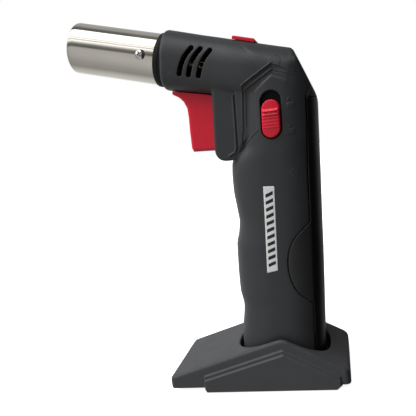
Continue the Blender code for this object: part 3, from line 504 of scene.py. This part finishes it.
def body_form(x, y, z):
    yy = np.abs(y)
    s, n = nozzle_coords(x, z)
    front = np.interp(z, FRONT_Z, FRONT_X)
    rear = np.interp(z, REAR_Z, REAR_X)
    col = superellipse(x - (front + rear) * 0.5, y, (rear - front) * 0.5, HALF_W, 2.5)
    col = smax(col, np.where(n > 0, superellipse(y, n, 19.4, 14.95, 2.25), n - 14.95), 1.0)
    part = np.clip((-s - 4) / 20, 0, 1)
    side = BARREL_Y + 2.6 * (1 - step(-56.0, -24.0, s))
    top = 16.2 - 0.5 * part - 0.75 * (1 - step(-66.0, -26.0, s))
    upper = superellipse(y, n, side, top, 2.25)
    lower = superellipse(y, n, side, barrel_low(s), 3.2)
    w = step(-3.0, 3.0, n)
    barrel = upper * w + lower * (1 - w)
    barrel = smax(barrel, s + 4.1 - 0.13 * n, 2.4)
    back = superellipse(np.maximum(x - (front + rear) * 0.5, 0), y, (rear - front) * 0.5, HALF_W + 0.1, 2.5)
    barrel = smax(barrel, back, 1.0)
    barrel = smax(barrel, -s - 74.0, 2.0)
    foot = side_of(x, z, FRAME_FOOT)
    # the flat cheek between the guard and the frame
    cheek = smax(yy - (16.1 + (x + 5) * 0.10), (-11.3 + (z - 131) * 0.064) - x, 0.7)
    cheek = np.maximum(smax(cheek, 0.2 - foot, 1.6), np.maximum(x - 2.0, z - 165.0))
    body = smin(smin(col, cheek, 0.5), barrel, 0.6)
    band = np.minimum(np.minimum(-side_of(x, z, FRAME_UL), -side_of(x, z, FRAME_UR)), -side_of(x, z, FRAME_L))
    plate = np.minimum(np.minimum(-side_of(x, z, PLATE_UL), -side_of(x, z, PLATE_UR)), -side_of(x, z, PLATE_L))
    inset = step(-0.5, 0.25, band) * (1 - step(-1.1, 0.35, plate)) * step(-0.1, 0.5, foot) * step(6.0, 11.0, yy)
    body = body + inset * (0.35 + 0.4 * step(-7.0, -1.0, x) - 0.75 * step(11.0, 24.0, x))
    edge = poly_dist(x, z, [(26.5, 152.6), (28.5, 157.0), (27.5, 162.8), (21.5, 178.6)])
    body = body + (0.34 * np.exp(-(edge / 0.4) ** 2)) * step(5.0, 9.0, yy)
    # block behind the trigger
    guard = smax((-24.7 + (z - 132.0) * 0.083) - x, 125.3 - z, 7.5)
    guard = smax(guard, yy - 14.4, 2.0)
    guard = np.maximum(np.maximum(guard, z - 166.0), x - 2.0)
    body = smin(body, guard, 0.7)
    return smax(body, slope_plane(x, z), 1.5)


def outer_form(x, y, z):
    body = body_form(x, y, z)
    beads = None
    for line, r in BEADS:
        p = poly_dist(x, z, line)
        d = np.sqrt(p * p + body * body) - r
        beads = d if beads is None else np.minimum(beads, d)
    knobs = poly_dist(x, z, [(-10.8, 158.6), (-12.5, 131.6), (-13.4, 129.6), (-16.8, 127.9)])
    lip = np.sqrt(knobs * knobs + (body * 0.9) ** 2) - 0.6
    beads = np.minimum(beads, np.maximum(lip, np.abs(y) - 15.6))
    beads = np.maximum(beads, 6.0 - np.abs(y))
    return smin(body, beads, 0.35)


# seam between the housing and the rear spine panel
def seam_points():
    pts = [(26.7, 158.0), (26.4, 152.8), (25.6, 140.0), (24.3, 128.0), (23.1, 116.0), (21.5, 89.2)]
    for i in range(13):
        a = math.radians(112 + (246 - 112) * i / 12)
        pts.append((20.6 + 12.8 * math.cos(a), 66.0 + 19.8 * math.sin(a)))
    return pts + [(18.3, 44.5), (17.9, 38.0), (16.9, 24.0), (15.6, 4.0)]


SEAM = seam_points()
SEAM_Z = np.array([p[1] for p in SEAM])[::-1]
SEAM_X = np.array([p[0] for p in SEAM])[::-1]


def spine_zone(x, z):
    """Positive inside the spine panel's outline."""
    sign = np.where(x > np.interp(z, SEAM_Z, SEAM_X), 1.0, -1.0)
    return smin(sign * poly_dist(x, z, SEAM), (152.9 - z) * 2.5, 0.8)


SLOT_LEAN = math.tan(math.radians(4.0))


def slot_dist(x, z, low, high, width):
    xl = x - (z - 146.2) * SLOT_LEAN
    r = width / 2
    return seg_dist(xl, z, (8.4, low + r), (8.4, high - r)) - r


def vent_line(x1, z1, x0, z0):
    pts = []
    for i in range(7):
        t = i / 6
        bow = 1.1 * math.sin(math.pi * t)
        pts.append((x0 + (x1 - x0) * t - bow * 0.83, z0 + (z1 - z0) * t + bow * 0.55))
    return pts


VENTS = [vent_line(*v) for v in (
    (-29.1, 185.5, -37.2, 173.5), (-24.4, 184.3, -32.4, 172.2), (-19.4, 182.7, -27.1, 170.9))]
BOSSES = ((-41.0, 172.0, 12.0), (13.0, 172.0, 14.0), (-11.2, 119.0, 11.5), (17.0, 116.0, 15.0))


def housing_form(side):
    sign = -1.0 if side == "left" else 1.0

    def form(x, y, z):
        s, n = nozzle_coords(x, z)
        out = outer_form(x, y, z)
        shell = smax(out, -(body_form(x, y, z) + 2.2), 0.3)
        for bx, bz, reach in BOSSES:
            r = np.sqrt((x - bx) ** 2 + (z - bz) ** 2)
            wide = 3.9 if side == "right" else 2.1 if bz < 117 else 3.0
            low = y - reach if side == "right" else y
            shell = smin(shell, np.maximum(np.maximum(r - wide, low), out), 0.4)
            if side == "right":
                shell = smax(shell, -np.maximum(r - 2.95, (reach - 4.0) - y), 0.5)
                shell = np.maximum(shell, -(r - 1.7))
        shell = smax(shell, 7.4 - z, 1.0)
        gate = np.maximum(np.maximum(np.abs(y) - 8.9, x + 16.0), np.maximum(129.4 - z, n + barrel_low(s) - 0.4))
        shell = smax(shell, -gate, 0.5)
        lock = np.maximum(np.abs(y) - 2.3, np.maximum(np.abs(s + 46.5) - 7.0, 10.0 - n))
        shell = smax(shell, -lock, 0.3)
        for vent in VENTS:
            shell = smax(shell, -np.maximum(poly_dist(x, z, vent) - 1.22, 9.0 - y * sign), 0.6)
        if side == "left":
            shell = smax(shell, -np.maximum(slot_dist(x, z, 134.1, 158.3, 10.7), y + 12.0), 0.7)
            xl = x - (z - 146.2) * SLOT_LEAN
            marks = np.minimum(np.hypot(x - 18.2, z - 153.0) - 0.62, rounded_box(xl - 18.6, z - 149.6, 1.9, 1.3, 0.6))
            marks = np.minimum(marks, np.minimum(np.hypot(x - 17.0, z - 139.6) - 0.55, rounded_box(xl - 17.7, z - 136.6, 2.3, 1.35, 0.4)))
            shell = smin(shell, smax(marks, out - 0.2, 0.3), 0.3)
        else:
            web = np.maximum(np.abs(y - 9.7) - 0.5, np.maximum(np.abs(s + 26.5) - 14.0, np.abs(n) - 12.6))
            shell = np.minimum(shell, np.maximum(web, out + 1.0))
        shell = smax(shell, spine_zone(x, z) + 0.22, 0.6)
        return smax(shell, 0.10 - y * sign, 0.4)
    return form


def spine_form(x, y, z):
    body = body_form(x, y, z)
    shell = smax(body, -(body + 2.2), 0.3)
    shell = smax(shell, 7.4 - z, 1.0)
    return smax(shell, 0.22 - spine_zone(x, z), 0.6)


def on_skin(x, y, z):
    return np.abs(body_form(x, y, z)) < 1.1


H = 0.75
LEVELS = (13, 16)
dress(surface("housing_left_skin", housing_form("left"), (-55, -20.8, 5.8), (35, 1.2, 201), H, LEVELS, on_skin),
      CHARCOAL, "charcoal_abs", "torch", "housing_left")
dress(surface("housing_right_skin", housing_form("right"), (-55, -1.2, 5.8), (35, 20.8, 201), H, LEVELS, on_skin),
      CHARCOAL, "charcoal_abs", "torch", "housing_right")
dress(surface("rear_spine_skin", spine_form, (4, -20.8, 5.8), (35, 20.8, 155), H, LEVELS, on_skin),
      SPINE_MAT, "spine_black", "torch", "rear_spine_panel")

# ------------------------------------------------------------------ nameplate, with plain slanted bars for a print
PLATE = [(-3.7, 64.4), (2.2, 65.4), (5.7, 110.1), (-0.1, 110.5)]
PLATE_LOW, PLATE_HIGH = (-0.75, 64.9), (2.8, 110.3)


def plate_form(x, y, z):
    body = body_form(x, y, z)
    d = smax(polygon_dist(x, z, PLATE), body - 0.12, 0.2)
    return np.maximum(np.maximum(d, -(body + 0.45)), y + 10)


def print_form(x, y, z):
    body = body_form(x, y, z)
    ax, az = PLATE_HIGH[0] - PLATE_LOW[0], PLATE_HIGH[1] - PLATE_LOW[1]
    length = math.hypot(ax, az)
    u = ((x - PLATE_LOW[0]) * ax + (z - PLATE_LOW[1]) * az) / length
    v = ((x - PLATE_LOW[0]) * az - (z - PLATE_LOW[1]) * ax) / length
    k = np.clip(np.round((u - 4.3) / 3.7), 0, 10)
    bars = np.maximum(np.abs(u - 4.3 - 3.7 * k - 0.45 * v) * 0.91 - 0.85, np.abs(v) - 2.0)
    return np.maximum(np.maximum(bars, body - 0.16), np.maximum(-(body - 0.02), y + 10))


dress(surface("nameplate_film", plate_form, (-5, -20.3, 63), (7, -17.0, 112), 0.3), WHITE, "white_label", "torch", "nameplate")
dress(surface("nameplate_print", print_form, (-5, -20.3, 63), (7, -17.0, 112), 0.13, quick_h=3.0), INK, "black_rubber", "torch")

# ------------------------------------------------------------------ trigger
TRIGGER = [(-46.3, 170.8), (-45.7, 164.4), (-42.3, 162.3), (-40.1, 159.8), (-38.6, 156.1), (-38.5, 150.8), (-38.9, 143.8),
           (-39.1, 134.5), (-38.3, 132.2), (-14.4, 130.8), (-14.4, 161.3)]


def trigger_form(x, y, z):
    d = polygon_dist(x, z, TRIGGER)
    body = smax(d, np.abs(y) - 8.5, 2.2)
    s, n = nozzle_coords(x, z)
    under = superellipse(y, n, BARREL_Y + 2.6 * (1 - step(-56.0, -24.0, s)), barrel_low(s), 3.2)
    body = np.maximum(smax(body, 0.38 - under, 0.3), n + 10.0)
    tongue = np.maximum(np.maximum(np.abs(x + 7.7) - 8.3, np.abs(y - 3.6) - 1.4), np.abs(z - 136.0) - 1.4)
    return smin(body, tongue, 0.3)


dress(surface("trigger_skin", trigger_form, (-49, -9.6, 129.5), (2, 9.6, 169.5), 0.5, (14,)), RED, "red_abs", "trigger", "trigger")

# ------------------------------------------------------------------ flame slide, with its thumb ribs
RIBS = ((147.9, 0.85, 1.25), (146.1, 0.62, 1.0), (144.5, 0.22, 0.8), (142.9, 0.2, 0.8), (141.3, 0.2, 0.8), (139.8, 0.2, 0.8))


def slider_form(x, y, z):
    xl = x - (z - 146.2) * SLOT_LEAN
    d = seg_dist(xl, z, (8.4, 139.4), (8.4, 149.0)) - 4.7
    face = 20.75 - 0.010 * (xl - 8.4) ** 2 - 0.004 * (z - 144.2) ** 2
    for at, height, width in RIBS:
        face = face + height * np.clip(1 - (z - at) / width, 0, 1) * step(at - 0.35, at, z) * step(4.4, 3.6, np.abs(xl - 8.4))
    return np.maximum(smax(d, (-y - face) * 0.7, 0.7), y + 18.9)


dress(surface("flame_slider_skin", slider_form, (2, -23.2, 133), (15, -18.0, 155.5), 0.22), RED, "red_abs", "flame_slider", "flame_slider")


# ------------------------------------------------------------------ lock button on the head
def lock_form(x, y, z):
    s, n = nozzle_coords(x, z)
    d = polygon_dist(s, n, [(-53.6, 13.0), (-39.2, 13.0), (-39.2, 16.5), (-39.9, 16.8), (-51.0, 16.7)])
    body = smax(d, np.abs(y) - 7.5, 0.7)
    body = smax(body, 0.28 - body_form(x, y, z), 0.3)
    for at in (-42.6, -44.4, -46.2):
        groove = np.hypot(s - at, n - 16.95) - 0.42
        body = smax(body, -np.maximum(groove, np.abs(y) - 6.2), 0.25)
    return body


dress(surface("lock_button_skin", lock_form, (-10.5, -8.4, 181.4), (6.5, 8.4, 191.6), 0.3), RED, "red_abs", "lock", "lock_button")

# ------------------------------------------------------------------ flame tube and the ring behind it
NOZZLE = Matrix(((ST, 0, -CT, NX), (0, 1, 0, 0), (CT, 0, ST, NZ), (0, 0, 0, 1)))
R = 13.9
dress(lathe("flame_tube_skin", [
    (13.1, 0.2), (R, 0.2), (R, 8.0), (R, 20.0), (R, 34.0), (R, 47.0), (R, 49.3), (R - 0.05, 49.62), (R - 0.2, 49.84), (R - 0.42, 49.9),
    (R - 0.62, 49.82), (R - 0.76, 49.6), (13.1, 49.3), (13.1, 34.0), (13.1, 20.0), (13.1, 8.0)], 200, NOZZLE),
      STEEL, "stainless_steel", "torch", "flame_tube")
dress(lathe("heat_ring_skin", [
    (13.0, -5.4), (14.2, -5.4), (14.5, -5.2), (14.6, -4.8), (14.6, -3.3), (14.35, -3.1), (14.35, -2.7), (14.6, -2.5),
    (14.6, -0.6), (14.5, -0.2), (14.2, 0.0), (13.0, 0.0)], 160, NOZZLE), RUBBER, "black_rubber", "torch", "heat_ring")


# ------------------------------------------------------------------ screws
def dome_form(x, y, z):
    r = np.hypot(x, y)
    ball = np.sqrt(r * r + (z - 12.3) ** 2) - 3.2
    head = smax(ball, 13.5 - z, 0.3)
    head = smin(head, np.maximum(r - 1.3, np.abs(z - 12.2) - 1.35), 0.2)
    cross = np.minimum(np.maximum(np.abs(x) - 0.36, np.abs(y) - 1.5), np.maximum(np.abs(y) - 0.36, np.abs(x) - 1.5))
    cross = np.maximum(cross + np.maximum(15.2 - z, 0) * 0.3, 14.3 - z)
    return smax(head, -cross, 0.15)


def pan_form(x, y, z):
    r = np.hypot(x, y)
    head = smax(r - 2.42 - 0.02 * z, z - 2.05 + 0.05 * r * r, 0.7)
    head = np.maximum(head, -z)
    head = np.minimum(head, np.maximum(r - 1.35 + 0.14 * np.sin(z * 9.0), np.maximum(z - 0.1, -9.0 - z)))
    cross = np.minimum(np.maximum(np.abs(x) - 0.34, np.abs(y) - 1.45), np.maximum(np.abs(y) - 0.34, np.abs(x) - 1.45))
    return smax(head, -np.maximum(cross + np.maximum(1.9 - z, 0) * 0.25, 0.8 - z), 0.12)


for name, side in (("tube_screw_left", -1), ("tube_screw_right", 1)):
    twist = math.radians(28 if side < 0 else 61)
    out = Vector((0, side, 0))
    u = (NOZZLE.to_3x3() @ Vector((math.cos(twist), 0, math.sin(twist)))).normalized()
    v = out.cross(u)
    centre = NOZZLE @ Vector((0, 0, 7.2))
    place = Matrix((u, v, out)).transposed().to_4x4()
    place.translation = centre
    dress(surface(name + "_skin", dome_form, (-3.5, -3.5, 10.4), (3.5, 3.5, 15.9), 0.13, place=place, span=0.05, quick_h=2.0),
          BRIGHT, "stainless_steel", "torch", name)
for i, (bx, bz, reach) in enumerate(BOSSES):
    twist = math.radians(20 + 37 * i)
    out = Vector((0, 1, 0))
    u = Vector((math.cos(twist), 0, math.sin(twist)))
    place = Matrix((u, out.cross(u), out)).transposed().to_4x4()
    place.translation = Vector((bx, reach - 3.95, bz))
    dress(surface(f"housing_screw_{i + 1}_skin", pan_form, (-2.9, -2.9, -9.4), (2.9, 2.9, 2.5), 0.16, place=place, span=0.05, quick_h=2.0),
          ZINC, "zinc_plate", "torch", f"housing_screw_{i + 1}")

# ------------------------------------------------------------------ stand
FRONT_PITCH, REAR_PITCH = 19.2 / 63.8, 18.5 / 33.6
CHEVRON = [(-46.0, 2.2), (-45.2, 0.0), (26.6, 0.0), (29.4, 2.4), (29.2, 7.6), (0.0, 23.6), (-45.6, 10.0)]
CHEVRON_2 = [(-46.0, 2.2), (-45.2, 0.0), (26.6, 0.0), (29.4, 2.4), (29.2, 5.3), (0.0, 21.3), (-45.6, 7.7)]


def stand_form(x, y, z):
    yy = np.abs(y)
    front = (z - 28.8 - FRONT_PITCH * x) / math.hypot(1, FRONT_PITCH)
    rear = (z - 28.8 + REAR_PITCH * x) / math.hypot(1, REAR_PITCH)
    roof = smax(front, rear, 2.4)
    plan = rounded_box(x + 15.9, y, 50.0, 23.5, 2.8)
    body = smax(roof, plan, 1.9)
    body = smax(body, 2.5 - z, 1.0)
    first, second = polygon_dist(x, z, CHEVRON), polygon_dist(x, z, CHEVRON_2)
    rise = 23.5 + 0.75 * np.clip(-first / 0.85, 0, 1) + 0.75 * np.clip(-second / 0.85, 0, 1)
    pad = np.maximum((yy - rise) * 0.72, np.maximum(first, 21.0 - yy))
    body = smin(body, pad, 0.12)
    well = superellipse(x + 1.6, y, 25.8, 21.0, 2.6)
    cup = np.maximum(well - 1.8, 5.0 - z)
    cavity = np.maximum(np.maximum(plan + 2.6, roof + 2.8), -cup)
    body = smax(body, -cavity, 0.4)
    return smax(body, -np.maximum(well, 7.0 - z), 1.3)


dress(surface("stand_skin", stand_form, (-65.5, -26.4, -1.4), (36, 26.4, 30), 0.75, (13, 16)), STAND_MAT, "charcoal_abs", "stand", "stand")

# ------------------------------------------------------------------ carried-over nodes
for mat, names in (
    (BRASS, ("venturi_tube", "burner_head", "flame_holder", "gas_jet", "gas_valve_body", "gas_valve_nipple", "refill_valve_body")),
    (ZINC, ("burner_collar",)),
    (BRIGHT, ("electrode_wire", "lever_pin", "refill_valve_stem", "refill_valve_spring", "gas_valve_spring")),
    (CERAMIC, ("electrode_insulator",)),
    (RUBBER, ("gas_hose", "piezo_igniter", "gas_valve_gasket", "refill_valve_seal")),
    (LEAD, ("piezo_lead",)),
    (TANK, ("fuel_tank",)),
    (NYLON, ("lock_clip", "valve_lever", "regulator_lever", "piezo_plunger")),
    (BLACK, ("slider_carriage",)),
    (CHARCOAL, ("bottom_cap",)),
):
    for node in names:
        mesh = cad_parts[node].data
        mesh.materials.clear()
        mesh.materials.append(mat)

# ------------------------------------------------------------------ camera
YAW, PITCH, ROLL = math.radians(10.5), math.radians(6.93), math.radians(-7.24)
PPX, PPY, FPX = 260.0, 190.0, 444.0
forward = Vector((-math.sin(YAW) * math.cos(PITCH), math.cos(YAW) * math.cos(PITCH), -math.sin(PITCH)))
right0 = Vector((math.cos(YAW), math.sin(YAW), 0))
up0 = right0.cross(forward)
right = math.cos(ROLL) * right0 + math.sin(ROLL) * up0
up = -math.sin(ROLL) * right0 + math.cos(ROLL) * up0
cam_data = bpy.data.cameras.new("camera")
cam = bpy.data.objects.new("camera", cam_data)
bpy.context.scene.collection.objects.link(cam)
cam.matrix_world = Matrix.Translation(Vector((39.525 + SHIFT, -243.009, 136.524)) * MM) @ Matrix((right, up, -forward)).transposed().to_4x4()
cam_data.sensor_width = 36.0
cam_data.lens = FPX / 416.0 * 36.0
cam_data.shift_x = (208.0 - PPX) / 416.0
cam_data.shift_y = (PPY - 208.0) / 416.0
cam_data.clip_start = 0.01
bpy.context.scene.camera = cam

# ------------------------------------------------------------------ floor and studio light
bpy.ops.mesh.primitive_plane_add(size=8.0, location=(0, 0, -0.0002))
floor = bpy.context.object
floor.name = "floor"
floor_mat, floor_tree, floor_bsdf = new_mat("floor_white", (0.82, 0.82, 0.82), 0.9)
floor_bsdf.inputs["Specular IOR Level"].default_value = 0.0
floor_bsdf.inputs["Emission Color"].default_value = (1, 1, 1, 1)
floor_bsdf.inputs["Emission Strength"].default_value = 0.9
floor.data.materials.append(floor_mat)
floor.visible_diffuse = False
floor.visible_glossy = False

world = bpy.data.worlds.new("studio")
bpy.context.scene.world = world
world.use_nodes = True
wt = world.node_tree
for node in list(wt.nodes):
    wt.nodes.remove(node)
w_out = add(wt, "ShaderNodeOutputWorld")
w_mix = add(wt, "ShaderNodeMixShader")
w_path = add(wt, "ShaderNodeLightPath")
w_white = add(wt, "ShaderNodeBackground")
w_white.inputs["Color"].default_value = (1, 1, 1, 1)
w_studio = add(wt, "ShaderNodeBackground")
wt.links.new(w_path.outputs["Is Camera Ray"], w_mix.inputs["Fac"])
wt.links.new(w_studio.outputs[0], w_mix.inputs[1])
wt.links.new(w_white.outputs[0], w_mix.inputs[2])
wt.links.new(w_mix.outputs[0], w_out.inputs["Surface"])
w_dir = add(wt, "ShaderNodeTexCoord")
w_xyz = add(wt, "ShaderNodeSeparateXYZ")
wt.links.new(w_dir.outputs["Generated"], w_xyz.inputs[0])
w_neg = add(wt, "ShaderNodeMath", operation="MULTIPLY")
w_neg.inputs[1].default_value = -1.0
wt.links.new(w_xyz.outputs["Y"], w_neg.inputs[0])
w_ang = add(wt, "ShaderNodeMath", operation="ARCTAN2")
wt.links.new(w_xyz.outputs["Z"], w_ang.inputs[0])
wt.links.new(w_neg.outputs[0], w_ang.inputs[1])
w_fac = add(wt, "ShaderNodeMapRange")
w_fac.inputs["From Min"].default_value = -math.pi
w_fac.inputs["From Max"].default_value = math.pi
wt.links.new(w_ang.outputs[0], w_fac.inputs["Value"])


def at(degrees):
    return (degrees + 180.0) / 360.0


# brightness by height, going from the floor behind, under the front, up over the top and down to the backdrop
SKY = ((-180, 0.95), (-150, 0.62), (-90, 0.62), (-45, 0.58), (-20, 0.57), (6, 0.52), (10, 0.42), (13, 0.12), (20, 0.17), (26, 0.3), (30, 0.85), (34, 1.1), (37, 2.2),
       (40, 0.55), (43, 0.8), (46, 2.2), (49, 0.6), (53, 2.0), (57, 1.0), (60, 4.2), (83, 4.2), (88, 0.16), (103, 0.17), (110, 0.36), (150, 0.42), (180, 0.75))
w_sky = ramp(wt, w_fac.outputs["Result"], tuple((at(a), v) for a, v in SKY))
w_az = add(wt, "ShaderNodeMath", operation="ARCTAN2")
wt.links.new(w_xyz.outputs["X"], w_az.inputs[0])
wt.links.new(w_neg.outputs[0], w_az.inputs[1])
w_x = add(wt, "ShaderNodeMapRange")
w_x.inputs["From Min"].default_value = -math.pi
w_x.inputs["From Max"].default_value = math.pi
wt.links.new(w_az.outputs[0], w_x.inputs["Value"])
# brightness round the horizon: 0 is the camera's side, 90 the right
ROUND = ((-180, 0.75), (-166, 1.1), (-140, 1.1), (-120, 0.95), (-90, 0.52), (-60, 0.66), (-32, 0.98), (-8, 0.94), (1, 0.76), (8, 0.45), (16, 0.22), (30, 0.09),
         (60, 0.03), (112, 0.02), (124, 0.14), (140, 0.26), (166, 0.28), (180, 0.75))
w_side = ramp(wt, w_x.outputs["Result"], tuple((at(a), v) for a, v in ROUND))
w_mul = add(wt, "ShaderNodeMix", data_type="RGBA", blend_type="MULTIPLY")
w_mul.inputs["Factor"].default_value = 1.0
wt.links.new(w_sky, w_mul.inputs[6])
wt.links.new(w_side, w_mul.inputs[7])
wt.links.new(w_mul.outputs[2], w_studio.inputs["Color"])
w_studio.inputs["Strength"].default_value = 1.0


def area(name, location, target, size, power, size_y=None):
    light = bpy.data.lights.new(name, "AREA")
    light.energy = power
    light.size = size
    if size_y:
        light.shape = "RECTANGLE"
        light.size_y = size_y
    obj = bpy.data.objects.new(name, light)
    bpy.context.scene.collection.objects.link(obj)
    obj.location = location
    obj.rotation_euler = (Vector(target) - Vector(location)).to_track_quat("-Z", "Y").to_euler()
    return obj


area("key", (-0.80, -0.16, 1.00), (-0.01, 0, 0.11), 0.6, 10.0).visible_glossy = False

bpy.context.scene.view_settings.view_transform = "Standard"
